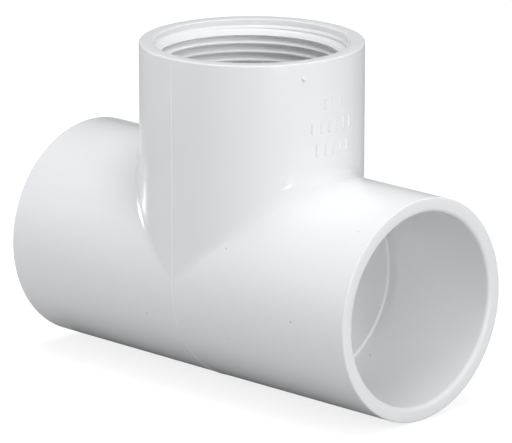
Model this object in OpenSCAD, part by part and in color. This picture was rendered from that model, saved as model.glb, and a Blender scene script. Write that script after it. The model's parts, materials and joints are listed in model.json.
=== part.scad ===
// PVC tee fitting: two solvent-weld sockets on the run, a female pipe thread in the branch.
// Origin: where the run axis and the branch axis cross. +X along the run, +Z up the branch.
// One injection moulding, divided into its natural regions, which meet face to face.

/* [Run] */
// Centre of the tee to the open end of each run socket
run_reach = 58; // [50:0.5:76]
// Outside diameter of the pipe that is glued into the run sockets
pipe_d = 48.26; // [38:0.01:60.4]
// Gap all round between the pipe and the socket wall
pipe_gap = 0.04; // [0.01:0.01:0.2]
// Depth of each run socket, from its open end to the pipe stop
socket_depth = 33.5; // [24:0.5:38]
// Thickness of the socket wall at its open end
socket_wall = 3.68; // [3:0.02:6]
// Height of the shoulder that stops the pipe
stop_height = 0.92; // [0.6:0.02:2]
// Growth of the run's outer radius from an open end to the middle, so that the mould lets go
run_draft = 0.1; // [0.05:0.01:0.3]
// Edge radius inside the mouth of a socket
socket_lip_r = 1.1; // [0.3:0.1:1.6]
// Edge radius on the outside of every rim
rim_edge_r = 0.4; // [0.2:0.1:0.8]

/* [Branch] */
// Centre of the tee to the rim of the branch
branch_reach = 57.6; // [56:0.2:72]
// Major diameter of the pipe thread at the mouth
thread_d = 47.39; // [39:0.01:57]
// Distance from one thread ridge to the next
thread_pitch = 2.209; // [1.6:0.001:2.8]
// Length of the threaded stretch with its lead-in chamfer
thread_length = 18.9; // [12:0.1:20]
// Depth of the plain counterbore above the thread
counterbore_depth = 1.5; // [1:0.1:3]
// Gap between the thread's major radius and the wall of the counterbore
counterbore_gap = 0.6; // [0.4:0.05:1]
// Wall round the counterbore at the rim
hub_wall = 3.65; // [2.5:0.05:6]
// Loss of the hub's outer radius from the rim down to the run axis, so that the mould lets go
hub_draft = 0.1; // [0.05:0.05:0.6]
// Step in from the smallest thread crest to the plain land below the thread
land_step = 0.2; // [0.1:0.05:0.6]
// Step in from the land to the branch waterway in the centre body
waterway_step = 0.3; // [0.25:0.05:0.6]

/* [Blends and marks] */
// Radius of the fillet in the crotch between run and branch
crotch_r = 3; // [2:0.1:4]
// Height of the raised parting line
line_height = 0.1; // [0.06:0.01:0.2]
// Width of the raised parting line
line_width = 0.35; // [0.2:0.05:0.6]
// Diameter of the raised bead near the branch rim
pip_d = 1.2; // [0.8:0.1:2]
// Rim to the middle of the bead
pip_drop = 4; // [3:0.1:6]
// Height of the raised marks above the hub
mark_height = 0.25; // [0.1:0.05:0.4]
// Height of one row of marks, measured along the branch
mark_row = 3.2; // [2:0.1:3.6]
// Distance from one row of marks to the next
mark_pitch = 5.7; // [4.4:0.1:5.8]
// How far the rows of marks sit below the middle of the hub's free wall
mark_drop = 3.7; // [2:0.1:4.5]

/* [Hidden] */
$fn = 128;

// Run
socket_r = pipe_d / 2 + pipe_gap;
run_end_r = socket_r + socket_wall;
run_mid_r = run_end_r + run_draft;
run_bore_r = socket_r - stop_height;
stop_x = run_reach - socket_depth;

// Branch
counterbore_r = thread_d / 2 + counterbore_gap;
hub_rim_r = counterbore_r + hub_wall;
hub_root_r = hub_rim_r - hub_draft;
thread_top_z = branch_reach - counterbore_depth;
thread_bottom_z = thread_top_z - thread_length;
thread_taper = 1 / 32;
thread_height = 0.8 * thread_pitch;
last_crest_r = thread_d / 2 - thread_height - thread_taper * (branch_reach - thread_bottom_z);
land_r = last_crest_r - land_step;
branch_bore_r = land_r - waterway_step;

// The regions meet on flat faces just past the fillets and the pipe stops
seam_gap = 0.8;
body_half_x = max(hub_root_r + crotch_r, stop_x) + seam_gap;
body_top_z = run_mid_r + crotch_r + seam_gap;

white = [0.95, 0.96, 0.97];

// Outer radius of the run at x, and of the hub at z: both are drafted
function run_r(x) = run_mid_r - run_draft * abs(x) / run_reach;
function hub_r(z) = hub_root_r + hub_draft * z / branch_reach;

// Turns +Z to +X (side = 1) or to -X (side = -1)
module along_run(side) {
    rotate([0, side * 90, 0]) children();
}

// Solid stretch of the drafted run between two distances from the middle, on one side
module run_stretch(side, from, to) {
    along_run(side) translate([0, 0, from])
        cylinder(h = to - from, r1 = run_r(from), r2 = run_r(to));
}

// Solid stretch of the drafted hub between two heights
module hub_stretch(from, to) {
    translate([0, 0, from]) cylinder(h = to - from, r1 = hub_r(from), r2 = hub_r(to));
}

// What is cut from a square corner at the origin, pointing into +X +Y, to round it
module corner_cut(r) {
    overshoot = 0.5;
    difference() {
        translate([-overshoot, -overshoot]) square(r + overshoot);
        translate([r, r]) circle(r);
    }
}

// Slip socket from the centre body's end face to the open end
module run_socket(side) {
    length = run_reach - body_half_x;
    start_r = run_r(body_half_x);
    color(white) along_run(side) translate([0, 0, body_half_x])
        rotate_extrude() difference() {
            polygon([[socket_r, 0], [start_r, 0], [run_end_r, length], [socket_r, length]]);
            translate([socket_r, length]) mirror([0, 1]) corner_cut(socket_lip_r);
            translate([run_end_r, length]) mirror([1, 0]) mirror([0, 1]) corner_cut(rim_edge_r);
        }
}

// Middle of the tee: both walls, both waterways and the two pipe stops
module centre_body() {
    past = 1;
    color(white) difference() {
        union() {
            run_stretch(1, 0, body_half_x);
            run_stretch(-1, 0, body_half_x);
            hub_stretch(0, body_top_z);
        }
        along_run(1) cylinder(h = 2 * body_half_x + 2 * past, r = run_bore_r, center = true);
        for (side = [-1, 1])
            along_run(side) translate([0, 0, stop_x]) cylinder(h = body_half_x - stop_x + past, r = socket_r);
        cylinder(h = body_top_z + past, r = branch_bore_r);
    }
}

// Hub round the thread: counterbore wall, thread seat and the plain land under it
module branch_hub() {
    rim_inner_edge_r = 0.3;
    color(white) rotate_extrude() difference() {
        polygon([
            [land_r, body_top_z], [hub_r(body_top_z), body_top_z],
            [hub_rim_r, branch_reach], [counterbore_r, branch_reach],
            [counterbore_r, thread_bottom_z], [land_r, thread_bottom_z]
        ]);
        translate([counterbore_r, branch_reach]) mirror([0, 1]) corner_cut(rim_inner_edge_r);
        translate([hub_rim_r, branch_reach]) mirror([1, 0]) mirror([0, 1]) corner_cut(rim_edge_r);
    }
}

// Female taper thread: a sleeve whose inner wall is one helical strip of ridges
module branch_thread() {
    steps = 48;
    seat_r = counterbore_r;
    crest_flat = 0.16 * thread_pitch;
    root_flat = 0.08 * thread_pitch;
    flank = (thread_pitch - crest_flat - root_flat) / 2;
    // Each turn has four corners: where the groove ends, both edges of the crest, where the next groove starts
    drops = [0, flank, flank + crest_flat, 2 * flank + crest_flat];
    edge = 0.1;
    start_angle = -100;
    turns = floor((thread_length - 2 * edge - thread_pitch) / thread_pitch);
    fade_turns = 0.2;
    first_z = thread_top_z - edge;
    chamfer_r = seat_r - 0.1;
    last_turn = turns * steps;

    function root_r(z) = thread_d / 2 - thread_taper * (branch_reach - z);
    function crest_share(m) = max(0.15, min(1, m / steps / fade_turns, (last_turn - m) / steps / fade_turns));
    function ridge_r(m, j, z) = root_r(z) - (j == 1 || j == 2 ? thread_height * crest_share(m) : 0);
    function wall_r(m, j, z) = max(ridge_r(m, j, z), chamfer_r - (thread_top_z - z));
    // Down the hole the strip turns clockwise, seen from the mouth, which makes it a right-hand thread
    function turned(m) = start_angle - 360 * m / steps;
    function on_circle(r, m, z) = [r * cos(turned(m)), r * sin(turned(m)), z];
    function helix_point(m, j) =
        let (z = first_z - thread_pitch * m / steps - drops[j]) on_circle(wall_r(m, j, z), m, z);

    strip = [for (m = [0:last_turn], j = [0:3]) helix_point(m, j)];
    rings = [
        for (ring = [
            [seat_r, thread_bottom_z], [seat_r, thread_top_z],
            [chamfer_r, thread_top_z], [root_r(thread_bottom_z), thread_bottom_z]
        ], i = [0:steps - 1]) on_circle(ring[0], i, ring[1])
    ];
    base = len(strip);
    function v(m, j) = 4 * m + j;
    function ring_v(ring, i) = base + ring * steps + i % steps;

    faces = concat(
        [for (i = [0:steps - 1]) [ring_v(0, i), ring_v(1, i), ring_v(1, i + 1), ring_v(0, i + 1)]],
        [for (i = [0:steps - 1]) [ring_v(1, i), ring_v(2, i), ring_v(2, i + 1), ring_v(1, i + 1)]],
        [for (i = [0:steps - 1]) [ring_v(3, i), ring_v(0, i), ring_v(0, i + 1), ring_v(3, i + 1)]],
        [for (i = [0:steps - 1], t = [0, 1]) t == 0
            ? [ring_v(2, i), v(i, 0), ring_v(2, i + 1)] : [v(i, 0), v(i + 1, 0), ring_v(2, i + 1)]],
        [for (m = [0:last_turn - 1], j = [0:2], t = [0, 1]) t == 0
            ? [v(m, j), v(m, j + 1), v(m + 1, j)] : [v(m, j + 1), v(m + 1, j + 1), v(m + 1, j)]],
        [for (m = [0:last_turn - 1 - steps], t = [0, 1]) t == 0
            ? [v(m, 3), v(m + steps, 0), v(m + 1, 3)] : [v(m + steps, 0), v(m + steps + 1, 0), v(m + 1, 3)]],
        [for (i = [0:steps - 1], m = [last_turn - steps + i], t = [0, 1]) t == 0
            ? [v(m, 3), ring_v(3, m), v(m + 1, 3)] : [ring_v(3, m), ring_v(3, m + 1), v(m + 1, 3)]],
        [[ring_v(2, 0), v(steps, 0), v(0, 3), v(0, 2), v(0, 1), v(0, 0)]],
        [[v(last_turn - steps, 3), v(last_turn, 0), v(last_turn, 1), v(last_turn, 2), v(last_turn, 3), ring_v(3, 0)]]
    );
    color(white) polyhedron(points = concat(strip, rings), faces = faces, convexity = 10);
}

// Fillet on one side of the branch: the gap under a ball that rolls along both walls
module crotch_fillet(side) {
    steps = 32;
    arc_steps = 5;
    a = run_mid_r;
    b = hub_root_r;
    reach = min(a, b) + crotch_r;
    end_angle = 70;

    // Centre of the ball at each step across the tee
    function ball(s) = let (y = reach * sin(s))
        [sqrt(pow(b + crotch_r, 2) - y * y), y, sqrt(pow(a + crotch_r, 2) - y * y)];
    // Where the ball touches the branch and the run
    function on_branch(c) = [c[0] * hub_r(c[2]) / (b + crotch_r), c[1] * hub_r(c[2]) / (b + crotch_r), c[2]];
    function on_run(c) = [c[0], c[1] * run_r(c[0]) / (a + crotch_r), c[2] * run_r(c[0]) / (a + crotch_r)];
    // Where the two walls cross, in the plane through the ball
    function corner(c) = let (y = (on_branch(c)[1] + on_run(c)[1]) / 2)
        [sqrt(pow(hub_r(c[2]), 2) - y * y), y, sqrt(pow(run_r(c[0]), 2) - y * y)];
    function unit(u) = u / norm(u);
    function ball_arc(c, t) = c + crotch_r * unit((1 - t) * (on_branch(c) - c) + t * (on_run(c) - c));

    sections = [
        for (k = [-steps / 2:steps / 2])
            let (c = ball(end_angle * k / (steps / 2)))
            concat([for (i = [0:arc_steps]) ball_arc(c, i / arc_steps)], [corner(c)])
    ];
    n = arc_steps + 2;
    last = len(sections) - 1;
    faces = concat(
        [for (k = [0:last - 1], i = [0:n - 1], t = [0, 1])
            let (p = k * n + i, q = k * n + (i + 1) % n)
            t == 0 ? [p, q, p + n] : [q, q + n, p + n]],
        [[for (i = [n - 1:-1:0]) i]],
        [[for (i = [0:n - 1]) last * n + i]]
    );
    color(white) mirror([side > 0 ? 0 : 1, 0, 0])
        polyhedron(points = [for (section = sections) each section], faces = faces, convexity = 6);
}

// Raised line in the plane across the run, where the two mould halves met
module parting_line() {
    top_z = branch_reach - rim_edge_r;
    module outline(grow) {
        circle(run_mid_r + grow);
        polygon([
            [-hub_root_r - grow, -grow], [hub_root_r + grow, -grow],
            [hub_r(top_z) + grow, top_z], [-hub_r(top_z) - grow, top_z]
        ]);
    }
    color(white) rotate([90, 0, 90])
        linear_extrude(height = line_width, center = true) difference() {
            outline(line_height);
            outline(0);
            translate([-run_mid_r, top_z - 0.01]) square([2 * run_mid_r, 1]);
        }
}

// Small round bead on the outside of the hub
module vent_pip() {
    angle = -18.5;
    z = branch_reach - pip_drop;
    color(white) difference() {
        rotate([0, 0, angle]) translate([hub_r(z), 0, z]) rotate([0, 90, 0]) sphere(d = pip_d, $fn = 32);
        hub_stretch(body_top_z, branch_reach);
    }
}

// One row of plain upright bars on the hub, standing mark_height proud
module marking_row(row, bars) {
    bar_width = 0.8;
    bar_step = 2.6;
    z = (body_top_z + branch_reach) / 2 - mark_drop - (row - 2) * mark_pitch;
    color(white) difference() {
        intersection() {
            hub_ring_r = hub_r(z) + mark_height;
            translate([0, 0, z - mark_row / 2]) cylinder(h = mark_row, r = hub_ring_r);
            union() for (i = [0:bars - 1])
                rotate([0, 0, (i - (bars - 1) / 2) * bar_step * 180 / (PI * hub_ring_r)])
                    translate([hub_ring_r / 2, -bar_width / 2, z - mark_row])
                        cube([hub_ring_r, bar_width, 2 * mark_row]);
        }
        hub_stretch(body_top_z / 2, branch_reach);
    }
}

centre_body();
run_socket(-1);  // run_socket_left
run_socket(1);  // run_socket_right
branch_hub();
branch_thread();
crotch_fillet(-1);  // crotch_fillet_left
crotch_fillet(1);  // crotch_fillet_right
parting_line();
vent_pip();
marking_row(1, 3);  // marking_row_1
marking_row(2, 6);  // marking_row_2
marking_row(3, 5);  // marking_row_3
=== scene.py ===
import json
import math
import bmesh
import bpy
import numpy as np
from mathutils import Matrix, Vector


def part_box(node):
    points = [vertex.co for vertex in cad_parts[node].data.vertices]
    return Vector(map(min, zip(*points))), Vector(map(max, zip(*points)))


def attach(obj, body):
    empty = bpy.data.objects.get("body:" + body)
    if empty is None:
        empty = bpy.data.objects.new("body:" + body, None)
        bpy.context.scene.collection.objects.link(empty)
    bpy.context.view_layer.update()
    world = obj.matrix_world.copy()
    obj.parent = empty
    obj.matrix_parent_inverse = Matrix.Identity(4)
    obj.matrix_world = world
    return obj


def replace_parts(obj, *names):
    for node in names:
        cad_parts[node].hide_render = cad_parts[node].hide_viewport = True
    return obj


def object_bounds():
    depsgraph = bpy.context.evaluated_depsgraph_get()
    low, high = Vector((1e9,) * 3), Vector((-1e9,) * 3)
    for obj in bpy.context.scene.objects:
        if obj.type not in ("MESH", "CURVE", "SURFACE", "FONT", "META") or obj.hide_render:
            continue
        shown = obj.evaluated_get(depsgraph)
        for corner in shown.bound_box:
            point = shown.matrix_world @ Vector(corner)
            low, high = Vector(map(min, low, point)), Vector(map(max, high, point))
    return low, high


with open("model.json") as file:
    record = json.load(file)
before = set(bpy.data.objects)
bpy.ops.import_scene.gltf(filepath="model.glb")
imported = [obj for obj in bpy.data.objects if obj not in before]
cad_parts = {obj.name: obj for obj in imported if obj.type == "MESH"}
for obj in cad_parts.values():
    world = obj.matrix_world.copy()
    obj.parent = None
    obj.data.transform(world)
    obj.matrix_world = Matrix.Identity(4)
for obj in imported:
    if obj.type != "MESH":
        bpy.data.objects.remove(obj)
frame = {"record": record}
cad_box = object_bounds()

# ---------------------------------------------------------------- sizes, in metres
MM = 0.001


def mount(name):
    """The record's entry for this mount."""
    return next(m for m in frame["record"]["mounts"] if m["name"] == name)


# From the frame
RUN_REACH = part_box("run_socket_right")[1].x
SEAM_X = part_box("run_socket_right")[0].x
SEAM_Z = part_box("branch_hub")[0].z
RIM_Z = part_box("branch_hub")[1].z
RUN_MID_R = -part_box("centre_body")[0].z
HUB_RIM_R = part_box("branch_hub")[1].x
THREAD_BOTTOM_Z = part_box("branch_thread")[0].z
THREAD_TOP_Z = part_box("branch_thread")[1].z
SOCKET_R = mount("run_socket_right")["dims"]["r_mm"] * MM
LAND_R = mount("branch_thread")["dims"]["r_mm"] * MM
FLOOR_Z = cad_box[0].z
MIDDLE = (cad_box[0] + cad_box[1]) / 2

# Walls and waterways, which the frame's boxes don't show
RUN_DRAFT = 0.1 * MM
HUB_DRAFT = 0.1 * MM
RUN_END_R = RUN_MID_R - RUN_DRAFT
HUB_ROOT_R = HUB_RIM_R - HUB_DRAFT
SOCKET_DEPTH = 33.5 * MM
STOP_HEIGHT = 0.92 * MM
STOP_X = RUN_REACH - SOCKET_DEPTH
RUN_BORE_R = SOCKET_R - STOP_HEIGHT
LAND_STEP = 0.3 * MM
BRANCH_BORE_R = LAND_R - LAND_STEP
CROTCH_R = 3.0 * MM
SOCKET_LIP_R = 1.1 * MM
RIM_EDGE_R = 0.4 * MM
MOUTH_EDGE_R = 0.3 * MM

# Thread: its taper is the loss of radius over the length
THREAD_D = 47.39 * MM
THREAD_PITCH = 2.209 * MM
THREAD_HEIGHT = 0.8 * THREAD_PITCH
THREAD_TAPER = 1 / 32
THREAD_EDGE = 0.1 * MM
THREAD_START = math.radians(-100)
COUNTERBORE_GAP = 0.6 * MM
SEAT_R = THREAD_D / 2 + COUNTERBORE_GAP

# What stands on the outside
LINE_WIDTH = 0.35 * MM
LINE_HEIGHT = 0.09 * MM
PIP_R = 0.6 * MM
PIP_ANGLE = math.radians(-18.5)
MARK_COUNTS = {"marking_row_1": 3, "marking_row_2": 6, "marking_row_3": 5}
MARK_WIDTH = 0.8 * MM
MARK_STEP = 2.6 * MM
MARK_HEIGHT = 0.24 * MM

# How finely things are cut up: once round the branch, then along each surface
HUB_STEPS = 256
WALL_STEPS = 12
RUN_STEPS = 24
BRANCH_BORE_STEPS = 8
THREAD_STEPS = 240
CROTCH_STEPS = 16
EDGE_STEPS = 6

# Parting line: down the branch, under the run, and over its own half round. Beads: once round
LINE_STEPS = 47
LINE_TURN_STEPS = 129
LINE_ROUND_STEPS = 8
BEAD_POINTS = 24

# Points closer than this are one point, and edges sharper than this stay sharp
WELD = 0.001 * MM
SHARP_ANGLE = math.radians(40)

# Colours
WHITE = (0.83, 0.84, 0.857, 1)
PALER_WHITE = (0.854, 0.861, 0.874, 1)
# Paler whites for the parting line: a painted highlight, the raised ridge drawn lighter as if it caught the
# light
LINE_HIGHLIGHT_WHITE = (0.95, 0.953, 0.957, 1)
PALER_LINE_HIGHLIGHT_WHITE = (0.97, 0.972, 0.975, 1)
SPECK_GREY = (0.5, 0.49, 0.48, 1)
FLOOR_REFLECTING = (0.4, 0.4, 0.4, 1)
FLOOR_SEEN = (0.3, 0.3, 0.3, 1)
FLOOR_GLOW = 0.8

# Camera: azimuth in degrees from the front towards the right, lens and sensor in millimetres
CAMERA_AZIMUTH = 44.75
CAMERA_ELEVATION = 14.95
CAMERA_DISTANCE = 1.2405
CAMERA_LENS = 350.4
CAMERA_SENSOR = 36
AIM_RIGHT = 1.0 * MM
AIM_UP = -3.3 * MM


def run_r(x):
    """Outer radius of the run at this distance from the middle."""
    return RUN_MID_R - RUN_DRAFT * np.abs(x) / RUN_REACH


def hub_r(z):
    """Outer radius of the branch at this height."""
    return HUB_ROOT_R + HUB_DRAFT * z / RIM_Z


# ---------------------------------------------------------------- mesh tools
class Skin:
    """A closed surface put together from grids of points, which meet where their edges agree."""

    def __init__(self):
        self.points = []
        self.faces = []

    def grid(self, points, wrap_rows=False, wrap_columns=False):
        """Quads over a rows x columns x 3 array of points."""
        rows, columns = points.shape[:2]
        base = len(self.points)
        self.points.extend(points.reshape(-1, 3))
        for i in range(rows if wrap_rows else rows - 1):
            for j in range(columns if wrap_columns else columns - 1):
                below, right = (i + 1) % rows, (j + 1) % columns
                corners = ((i, j), (i, right), (below, right), (below, j))
                self.faces.append([base + r * columns + c for r, c in corners])

    def ring_pair(self, outer, inner):
        """Triangles between two rings of points whose numbers of points may differ."""
        base = len(self.points)
        self.points.extend(outer)
        self.points.extend(inner)
        i = j = 0
        while i < len(outer) or j < len(inner):
            a, b = base + i % len(outer), base + len(outer) + j % len(inner)
            if j / len(inner) > i / len(outer) or j == len(inner):
                self.faces.append([a, base + (i + 1) % len(outer), b])
                i += 1
            else:
                self.faces.append([a, base + len(outer) + (j + 1) % len(inner), b])
                j += 1

    def build(self, name, material):
        """The finished piece, welded and shaded, on the one body."""
        mesh = bpy.data.meshes.new(name)
        mesh.from_pydata([tuple(p) for p in self.points], [], self.faces)
        work = bmesh.new()
        work.from_mesh(mesh)
        bmesh.ops.remove_doubles(work, verts=work.verts, dist=WELD)
        bmesh.ops.recalc_face_normals(work, faces=work.faces)
        work.to_mesh(mesh)
        work.free()
        mesh.shade_smooth()
        mesh.set_sharp_from_angle(angle=SHARP_ANGLE)
        mesh.materials.append(material)
        piece = bpy.data.objects.new(name, mesh)
        bpy.context.scene.collection.objects.link(piece)
        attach(piece, "root")
        return piece


def arc(centre, radius, start, end):
    """Points along an arc, from start to end in degrees."""
    turns = np.radians(np.linspace(start, end, EDGE_STEPS + 1))
    return [(centre[0] + radius * math.cos(t), centre[1] + radius * math.sin(t)) for t in turns]


def round_z(r, angle, z):
    """Points at radius r and height z round the branch axis."""
    return np.stack(np.broadcast_arrays(r * np.cos(angle), r * np.sin(angle), z), axis=-1)


def round_x(r, angle, x):
    """Points at radius r and distance x round the run axis, with angle 0 straight up."""
    return np.stack(np.broadcast_arrays(x, r * np.sin(angle), r * np.cos(angle)), axis=-1)


def lathe(name, profile, angles, place, material):
    """Turns a closed profile of (radius, along) points round an axis."""
    profile = np.array(profile)
    skin = Skin()
    skin.grid(place(profile[:, :1], angles[None, :], profile[:, 1:]), wrap_rows=True, wrap_columns=True)
    return skin.build(name, material)


# Angles round the branch, evenly spaced from the back (-90 degrees) round to it again
BRANCH_ANGLES = np.radians(np.arange(HUB_STEPS) * 360 / HUB_STEPS - 90)
HALF = HUB_STEPS // 2
FRONT_HALF = slice(0, HALF + 1)


def run_angles(share):
    """Angles round the run: those where lines down the branch meet it, and even ones underneath.
    share is the branch's radius over the run's."""
    upper = np.arcsin(share * np.sin(BRANCH_ANGLES[FRONT_HALF]))
    under = 2 * math.pi - 2 * upper[-1]
    steps = round(under / (2 * math.pi / HUB_STEPS))
    lower = upper[-1] + under * np.arange(1, steps) / steps
    return np.concatenate([upper, lower])


RUN_ANGLES = run_angles(HUB_ROOT_R / RUN_MID_R)
BORE_ANGLES = run_angles(BRANCH_BORE_R / RUN_BORE_R)


# ---------------------------------------------------------------- pieces
def run_socket(name, side, material):
    """Slip socket with a rounded mouth, from the seam to the open end."""
    lip = arc((SOCKET_R + SOCKET_LIP_R, RUN_REACH - SOCKET_LIP_R), SOCKET_LIP_R, 180, 90)
    edge = arc((RUN_END_R - RIM_EDGE_R, RUN_REACH - RIM_EDGE_R), RIM_EDGE_R, 90, 0)
    profile = [(SOCKET_R, SEAM_X), *lip, *edge, (run_r(SEAM_X), SEAM_X)]
    profile = [(r, side * x) for r, x in profile]
    return lathe(name, profile, RUN_ANGLES, round_x, material)


def rows(start, end, steps):
    """Evenly spaced values from start to end, as rows over what start and end are arrays of."""
    share = np.linspace(0, 1, steps + 1)[:, None]
    return (1 - share) * start + share * end


def both_ways(reach, steps):
    """A column of distances from -reach through 0 to reach, with this many steps each way."""
    half = np.linspace(0, reach, steps + 1)
    return np.concatenate([-half[::-1], half[1:]])[:, None]


def underneath(angles):
    """The part of the angles round the run that the branch doesn't meet."""
    return np.append(angles[HALF:], angles[0] + 2 * math.pi)


def crotch_fillet(skin):
    """Adds the fillet between run and branch. Returns its edges: up the branch, and along the run.
    A line down the branch and a line along the run cross at each corner. In the plane of those two
    lines it is a round from one to the other, which fades out at the front and back."""
    turn = BRANCH_ANGLES
    corner_x = HUB_ROOT_R * np.cos(turn)
    corner_y = HUB_ROOT_R * np.sin(turn)
    corner_z = np.sqrt(RUN_MID_R**2 - corner_y**2)
    lean = np.arctan2(corner_y, corner_z)
    # Rounded, so that it is 0 at the front and back whatever the cosine's last digits are
    away = np.sign(np.round(corner_x, 9))
    reach = CROTCH_R * np.sqrt(np.abs(corner_x) / HUB_ROOT_R)
    hub_z = corner_z + reach
    run_x = corner_x + away * reach
    corner = np.stack([corner_x, corner_y, corner_z], axis=-1)
    towards_hub = round_z(hub_r(hub_z), turn, hub_z) - corner
    towards_run = round_x(run_r(run_x), lean, run_x) - corner
    theta = np.linspace(math.pi / 2, 0, CROTCH_STEPS + 1)[:, None, None]
    points = corner + (1 - np.sin(theta)) * towards_run + (1 - np.cos(theta)) * towards_hub
    skin.grid(points, wrap_columns=True)
    return hub_z, run_x


def crossing_walls(skin, hub_z, run_x):
    """Adds the outer walls between the fillet's edges and the seams, and right through underneath."""
    height = rows(hub_z, SEAM_Z, WALL_STEPS)
    skin.grid(round_z(hub_r(height), BRANCH_ANGLES, height), wrap_columns=True)
    for side in (-1, 1):
        x = side * rows(np.abs(run_x[FRONT_HALF]), SEAM_X, RUN_STEPS)
        skin.grid(round_x(run_r(x), RUN_ANGLES[FRONT_HALF], x))
    x = both_ways(SEAM_X, RUN_STEPS)
    skin.grid(round_x(run_r(x), underneath(RUN_ANGLES), x))


def waterways(skin):
    """Adds the run's bore from stop to stop, and the branch's bore from there up to the seam."""
    turn = BRANCH_ANGLES
    for side in (-1, 1):
        x = side * rows(BRANCH_BORE_R * np.cos(turn[FRONT_HALF]), STOP_X, WALL_STEPS)
        skin.grid(round_x(RUN_BORE_R, BORE_ANGLES[FRONT_HALF], x))
    skin.grid(round_x(RUN_BORE_R, underneath(BORE_ANGLES), both_ways(STOP_X, WALL_STEPS)))
    meet_z = np.sqrt(RUN_BORE_R**2 - (BRANCH_BORE_R * np.sin(turn)) ** 2)
    height = rows(meet_z, SEAM_Z, BRANCH_BORE_STEPS)
    skin.grid(round_z(BRANCH_BORE_R, turn, height), wrap_columns=True)


def stops_and_seams(skin):
    """Adds the pipe stops, the socket walls from there to the seams, and the seam faces."""
    for side in (-1, 1):
        stop_x, seam_x = side * STOP_X, side * SEAM_X
        skin.ring_pair(round_x(SOCKET_R, RUN_ANGLES, stop_x), round_x(RUN_BORE_R, BORE_ANGLES, stop_x))
        wall = [(SOCKET_R, stop_x), (SOCKET_R, seam_x), (run_r(seam_x), seam_x)]
        for (r1, x1), (r2, x2) in zip(wall, wall[1:]):
            ends = np.stack([round_x(r1, RUN_ANGLES, x1), round_x(r2, RUN_ANGLES, x2)])
            skin.grid(ends, wrap_columns=True)
    outer = round_z(hub_r(SEAM_Z), BRANCH_ANGLES, SEAM_Z)
    inner = round_z(BRANCH_BORE_R, BRANCH_ANGLES, SEAM_Z)
    skin.grid(np.stack([outer, inner]), wrap_columns=True)


def centre_body(material):
    """Crossing of run and branch with its crotch fillets, both waterways and the pipe stops."""
    skin = Skin()
    hub_z, run_x = crotch_fillet(skin)
    crossing_walls(skin, hub_z, run_x)
    waterways(skin)
    stops_and_seams(skin)
    return skin.build("centre_body_skin", material)


def branch_hub(material):
    """Hub with a counterbored mouth, the seat of the thread and the land under it."""
    profile = [
        (hub_r(SEAM_Z), SEAM_Z),
        *arc((HUB_RIM_R - RIM_EDGE_R, RIM_Z - RIM_EDGE_R), RIM_EDGE_R, 0, 90),
        *arc((SEAT_R + MOUTH_EDGE_R, RIM_Z - MOUTH_EDGE_R), MOUTH_EDGE_R, 90, 180),
        (SEAT_R, THREAD_BOTTOM_Z),
        (LAND_R, THREAD_BOTTOM_Z),
        (LAND_R, SEAM_Z),
    ]
    return lathe("branch_hub_skin", profile, BRANCH_ANGLES, round_z, material)


def ridge_share(drop):
    """How far a ridge stands in, from 0 to 1, this many pitches below its start, with round edges."""
    crest, root, soften = 0.16, 0.08, 0.07
    samples = 9
    flank = (1 - crest - root) / 2
    corners = [-root, 0, flank, flank + crest, 2 * flank + crest, 1]
    levels = [0, 0, 1, 1, 0, 0]
    spread = np.linspace(-soften, soften, samples)
    return np.mean([np.interp((drop + s) % 1, corners, levels) for s in spread], axis=0)


def branch_thread(material):
    """Right-hand taper thread that runs out into its lead-in chamfer."""
    fade_turns = 0.2
    first_z = THREAD_TOP_Z - THREAD_EDGE
    length = THREAD_TOP_Z - THREAD_BOTTOM_Z - 2 * THREAD_EDGE
    last_turn = math.floor((length - THREAD_PITCH) / THREAD_PITCH)
    z = np.linspace(THREAD_TOP_Z, THREAD_BOTTOM_Z, THREAD_STEPS + 1)[:, None]
    root = THREAD_D / 2 - THREAD_TAPER * (RIM_Z - z)
    turned = ((THREAD_START - BRANCH_ANGLES) / (2 * math.pi)) % 1
    drop = (first_z - z) / THREAD_PITCH - turned
    turn = np.floor(drop) + turned
    shown = np.clip(np.minimum(turn, last_turn - turn) / fade_turns, 0, 1)
    wall = root - THREAD_HEIGHT * shown * ridge_share(drop)
    chamfer = SEAT_R - THREAD_EDGE - (THREAD_TOP_Z - z)
    wall = np.maximum(wall, chamfer)
    skin = Skin()
    skin.grid(round_z(wall, BRANCH_ANGLES, z), wrap_columns=True)
    outer = np.array([wall[-1], np.full(HUB_STEPS, SEAT_R), np.full(HUB_STEPS, SEAT_R), wall[0]])
    heights = np.array([THREAD_BOTTOM_Z, THREAD_BOTTOM_Z, THREAD_TOP_Z, THREAD_TOP_Z])[:, None]
    skin.grid(round_z(outer, BRANCH_ANGLES, heights), wrap_columns=True)
    return skin.build("branch_thread_skin", material)


def line_path():
    """Outline of the tee's middle section from rim to rim.
    Each row is a point and its way out, both as y and z."""
    corner_z = math.sqrt(RUN_MID_R**2 - HUB_ROOT_R**2)
    corner_turn = math.asin(corner_z / RUN_MID_R)
    z = np.linspace(RIM_Z - RIM_EDGE_R, corner_z, LINE_STEPS + 1)
    front = np.stack([-hub_r(z), z, np.full_like(z, -1), np.zeros_like(z)], axis=-1)
    turn = np.linspace(-corner_turn, math.pi + corner_turn, LINE_TURN_STEPS + 1)[1:-1]
    out = np.stack([-np.cos(turn), -np.sin(turn)], axis=-1)
    under = np.concatenate([RUN_MID_R * out, out], axis=-1)
    back = front[::-1] * (-1, 1, -1, 1)
    return np.concatenate([front, under, back])


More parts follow.
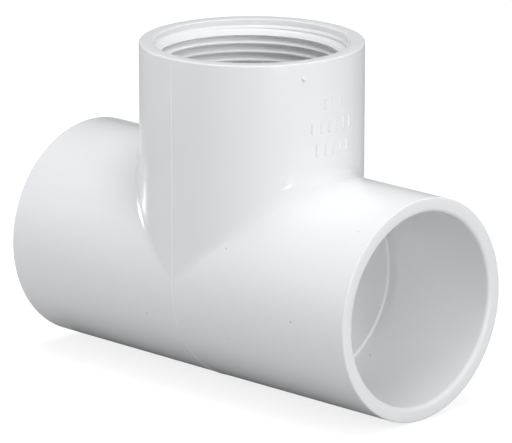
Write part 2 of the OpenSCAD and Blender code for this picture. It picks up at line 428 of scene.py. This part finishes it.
def parting_line(material):
    """Thin ridge along line_path: half an ellipse, closed inside the wall, that fades out at the rims."""
    path = line_path()
    theta = np.radians(np.linspace(0, 180, LINE_ROUND_STEPS + 1))
    across = np.concatenate([LINE_WIDTH / 2 * np.cos(theta), [-LINE_WIDTH / 2, LINE_WIDTH / 2]])
    out = np.concatenate([LINE_HEIGHT * np.sin(theta), [-LINE_HEIGHT / 2, -LINE_HEIGHT / 2]])
    steps = np.arange(len(path))
    fade_steps = 4
    fade = np.minimum(1, np.minimum(steps, steps[::-1]) / fade_steps)[:, None]
    y = path[:, 0:1] + path[:, 2:3] * out * fade
    z = path[:, 1:2] + path[:, 3:4] * out * fade
    skin = Skin()
    skin.grid(np.stack([across * fade, y, z], axis=-1), wrap_columns=True)
    return skin.build("parting_line_skin", material)


def bead(skin, angle, middle_z, half_width, half_length, height):
    """Adds a rounded bar, or a dome if it is as long as wide, that stands on the hub with a flared foot."""
    turn = np.radians((np.arange(BEAD_POINTS) + 0.5) * 360 / BEAD_POINTS)
    spine = (half_length - half_width) * np.sign(np.sin(turn))

    # Levels from the closed underside up, as shares of the half width and of the height
    foot = [(0, -0.3), (1, -0.3), (1, 0), (0.93, 0.06)]
    dome = [(0.88 * math.cos(t), 0.1 + 0.9 * math.sin(t)) for t in np.radians(np.linspace(10, 90, 7))]
    levels = np.array([*foot, *dome])
    share, lift = levels[:, :1], levels[:, 1:] * height
    z = middle_z + spine + share * half_width * np.sin(turn)
    around = angle + share * half_width * np.cos(turn) / hub_r(middle_z)
    skin.grid(round_z(hub_r(z) + lift, around, z), wrap_columns=True)


def vent_pip(material):
    """Small round bead near the branch rim."""
    low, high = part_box("vent_pip")
    skin = Skin()
    bead(skin, PIP_ANGLE, (low.z + high.z) / 2, PIP_R, PIP_R, PIP_R)
    return skin.build("vent_pip_skin", material)


def marking_row(name, material):
    """A row of plain upright bars, evenly spaced and with no lettering."""
    low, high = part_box(name)
    middle_z = (low.z + high.z) / 2
    count = MARK_COUNTS[name]
    skin = Skin()
    for i in range(count):
        angle = (i - (count - 1) / 2) * MARK_STEP / hub_r(middle_z)
        bead(skin, angle, middle_z, MARK_WIDTH / 2, (high.z - low.z) / 2, MARK_HEIGHT)
    return skin.build(name + "_skin", material)


# ---------------------------------------------------------------- materials
def noise(material, scale, detail):
    """Smooth random pattern through the piece; scale is how many times a metre it varies."""
    nodes, links = material.node_tree.nodes, material.node_tree.links
    place = nodes.new("ShaderNodeTexCoord")
    pattern = nodes.new("ShaderNodeTexNoise")
    pattern.inputs["Scale"].default_value = scale
    pattern.inputs["Detail"].default_value = detail
    links.new(place.outputs["Object"], pattern.inputs["Vector"])
    return pattern.outputs["Fac"]


def specks(material):
    """1 in small dark specks scattered through the plastic, 0 between them.
    Their two radii are shares of the mean distance from one to the next."""
    specks_per_metre = 110
    clear_radius, solid_radius = 0.036, 0.02
    nodes, links = material.node_tree.nodes, material.node_tree.links
    place = nodes.new("ShaderNodeTexCoord")
    cells = nodes.new("ShaderNodeTexVoronoi")
    cells.inputs["Scale"].default_value = specks_per_metre
    spot = nodes.new("ShaderNodeMapRange")
    spot.inputs["From Min"].default_value = clear_radius
    spot.inputs["From Max"].default_value = solid_radius
    links.new(place.outputs["Object"], cells.inputs["Vector"])
    links.new(cells.outputs["Distance"], spot.inputs["Value"])
    return spot.outputs["Result"]


def blend(material, share, first, second):
    """Colour that goes from first to second. first is a colour or the output of another node."""
    nodes, links = material.node_tree.nodes, material.node_tree.links
    mix = nodes.new("ShaderNodeMixRGB")
    links.new(share, mix.inputs["Fac"])
    if isinstance(first, tuple):
        mix.inputs["Color1"].default_value = first
    else:
        links.new(first, mix.inputs["Color1"])
    mix.inputs["Color2"].default_value = second
    return mix.outputs["Color"]


def bump(material, height, depth):
    """Adds relief of a depth in metres. Returns the node, whose Normal can take another bump's."""
    nodes, links = material.node_tree.nodes, material.node_tree.links
    relief = nodes.new("ShaderNodeBump")
    relief.inputs["Strength"].default_value = 1.0
    relief.inputs["Distance"].default_value = depth
    links.new(height, relief.inputs["Height"])
    return relief


def white_pvc(name, first, second):
    """Glossy moulded PVC: two drifting whites, a few specks, uneven gloss, slow waves and orange peel."""
    material = bpy.data.materials.new(name)
    material.use_nodes = True
    nodes, links = material.node_tree.nodes, material.node_tree.links
    shader = nodes["Principled BSDF"]
    shader.inputs["IOR"].default_value = 1.53

    drift = noise(material, scale=35, detail=3)
    plain = blend(material, drift, first, second)
    speckled = blend(material, specks(material), plain, SPECK_GREY)
    links.new(speckled, shader.inputs["Base Color"])

    smoothest, roughest = 0.1, 0.24
    gloss = nodes.new("ShaderNodeMapRange")
    gloss.inputs["To Min"].default_value = smoothest
    gloss.inputs["To Max"].default_value = roughest
    links.new(noise(material, scale=90, detail=4), gloss.inputs["Value"])
    links.new(gloss.outputs["Result"], shader.inputs["Roughness"])

    waves = bump(material, noise(material, scale=45, detail=1), depth=0.1 * MM)
    peel = bump(material, noise(material, scale=900, detail=3), depth=0.006 * MM)
    links.new(waves.outputs["Normal"], peel.inputs["Normal"])
    links.new(peel.outputs["Normal"], shader.inputs["Normal"])
    return material


# ---------------------------------------------------------------- studio
def backward(azimuth, elevation):
    """Way from the object back to what looks at it, for angles in degrees."""
    a, e = math.radians(azimuth), math.radians(elevation)
    return Vector((math.sin(a) * math.cos(e), -math.cos(a) * math.cos(e), math.sin(e)))


def hang(name, data, aim, back, distance):
    """Puts a camera or light this far back from the point that it faces."""
    holder = bpy.data.objects.new(name, data)
    holder.location = aim + back * distance
    holder.rotation_mode = "QUATERNION"
    holder.rotation_quaternion = (-back).to_track_quat("-Z", "Y")
    bpy.context.scene.collection.objects.link(holder)
    return holder


def camera():
    """Camera at the photograph's angle, which looks a little beside and below the middle."""
    azimuth = math.radians(CAMERA_AZIMUTH)
    back = backward(CAMERA_AZIMUTH, CAMERA_ELEVATION)
    right = Vector((math.cos(azimuth), math.sin(azimuth), 0))
    up = back.cross(right)
    data = bpy.data.cameras.new("camera")
    data.lens = CAMERA_LENS
    data.sensor_width = CAMERA_SENSOR
    data.clip_start = 0.05
    data.clip_end = 20
    aim = MIDDLE + right * AIM_RIGHT + up * AIM_UP
    bpy.context.scene.camera = hang("camera", data, aim, back, CAMERA_DISTANCE)


def pale_floor():
    """White to the camera, with a faint shadow, but a dim reflector, as a cut-out studio shot needs."""
    material = bpy.data.materials.new("pale_floor")
    material.use_nodes = True
    nodes, links = material.node_tree.nodes, material.node_tree.links
    dim = nodes["Principled BSDF"]
    dim.inputs["Base Color"].default_value = FLOOR_REFLECTING
    dim.inputs["Roughness"].default_value = 0.9
    dim.inputs["Specular IOR Level"].default_value = 0.0
    seen = nodes.new("ShaderNodeBsdfDiffuse")
    seen.inputs["Color"].default_value = FLOOR_SEEN
    glow = nodes.new("ShaderNodeEmission")
    glow.inputs["Strength"].default_value = FLOOR_GLOW
    both = nodes.new("ShaderNodeAddShader")
    path = nodes.new("ShaderNodeLightPath")
    choice = nodes.new("ShaderNodeMixShader")
    links.new(seen.outputs["BSDF"], both.inputs[0])
    links.new(glow.outputs["Emission"], both.inputs[1])
    links.new(path.outputs["Is Camera Ray"], choice.inputs["Fac"])
    links.new(dim.outputs["BSDF"], choice.inputs[1])
    links.new(both.outputs["Shader"], choice.inputs[2])
    links.new(choice.outputs["Shader"], nodes["Material Output"].inputs["Surface"])
    return material


def floor():
    """Flat sheet that the tee stands on."""
    half = 3.0
    corners = [(-half, -half, FLOOR_Z), (half, -half, FLOOR_Z), (half, half, FLOOR_Z), (-half, half, FLOOR_Z)]
    mesh = bpy.data.meshes.new("floor")
    mesh.from_pydata(corners, [], [(0, 1, 2, 3)])
    mesh.materials.append(pale_floor())
    sheet = bpy.data.objects.new("floor", mesh)
    bpy.context.scene.collection.objects.link(sheet)


def light(name, turn, elevation, distance, size, power, glossy):
    """A square light that faces the object. turn is how far round it is from the camera, to the right."""
    data = bpy.data.lights.new(name, "AREA")
    data.size = size
    data.energy = power
    back = backward(CAMERA_AZIMUTH + turn, elevation)
    holder = hang(name, data, MIDDLE, back, distance)
    holder.visible_glossy = glossy


def studio():
    """Broad fills that only soften, and two small lamps that give the gloss its thin highlights."""
    world = bpy.data.worlds.new("studio")
    world.use_nodes = True
    sky = world.node_tree.nodes["Background"]
    sky.inputs["Color"].default_value = (0.93, 0.97, 1.0, 1)
    sky.inputs["Strength"].default_value = 0.04
    bpy.context.scene.world = world
    for name, turn, elevation, power in (
        ("left_fill", -90, 5, 6.8),
        ("front_fill", 0, 5, 2.1),
        ("front_high", 0, 45, 1.6),
        ("axial_fill", 45, 3, 2.3),
        ("key_low", 45, 30, 3.8),
        ("key_high", 45, 60, 0.6),
        ("back_fill", 170, 25, 5.0),
    ):
        light(name, turn, elevation, distance=1.1, size=0.8, power=power, glossy=False)
    light("top_fill", 0, 88, distance=0.9, size=0.6, power=5.2, glossy=False)
    light("left_lamp", -115, 5, distance=0.9, size=0.12, power=1.4, glossy=True)
    light("right_lamp", 27, 5, distance=0.9, size=0.12, power=1.0, glossy=True)
    bpy.context.scene.view_settings.view_transform = "Standard"


camera()
floor()
studio()
pvc = white_pvc("white_pvc", WHITE, PALER_WHITE)
# The parting line's paler material is a painted highlight, not a colour of its own
highlight_painted_pvc = white_pvc("painted_highlight_white_pvc", LINE_HIGHLIGHT_WHITE, PALER_LINE_HIGHLIGHT_WHITE)
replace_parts(centre_body(pvc), "centre_body", "crotch_fillet_left", "crotch_fillet_right")
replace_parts(run_socket("run_socket_left_skin", -1, pvc), "run_socket_left")
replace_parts(run_socket("run_socket_right_skin", 1, pvc), "run_socket_right")
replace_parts(branch_hub(pvc), "branch_hub")
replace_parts(branch_thread(pvc), "branch_thread")
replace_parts(parting_line(highlight_painted_pvc), "parting_line")
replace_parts(vent_pip(pvc), "vent_pip")
for row_name in MARK_COUNTS:
    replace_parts(marking_row(row_name, pvc), row_name)
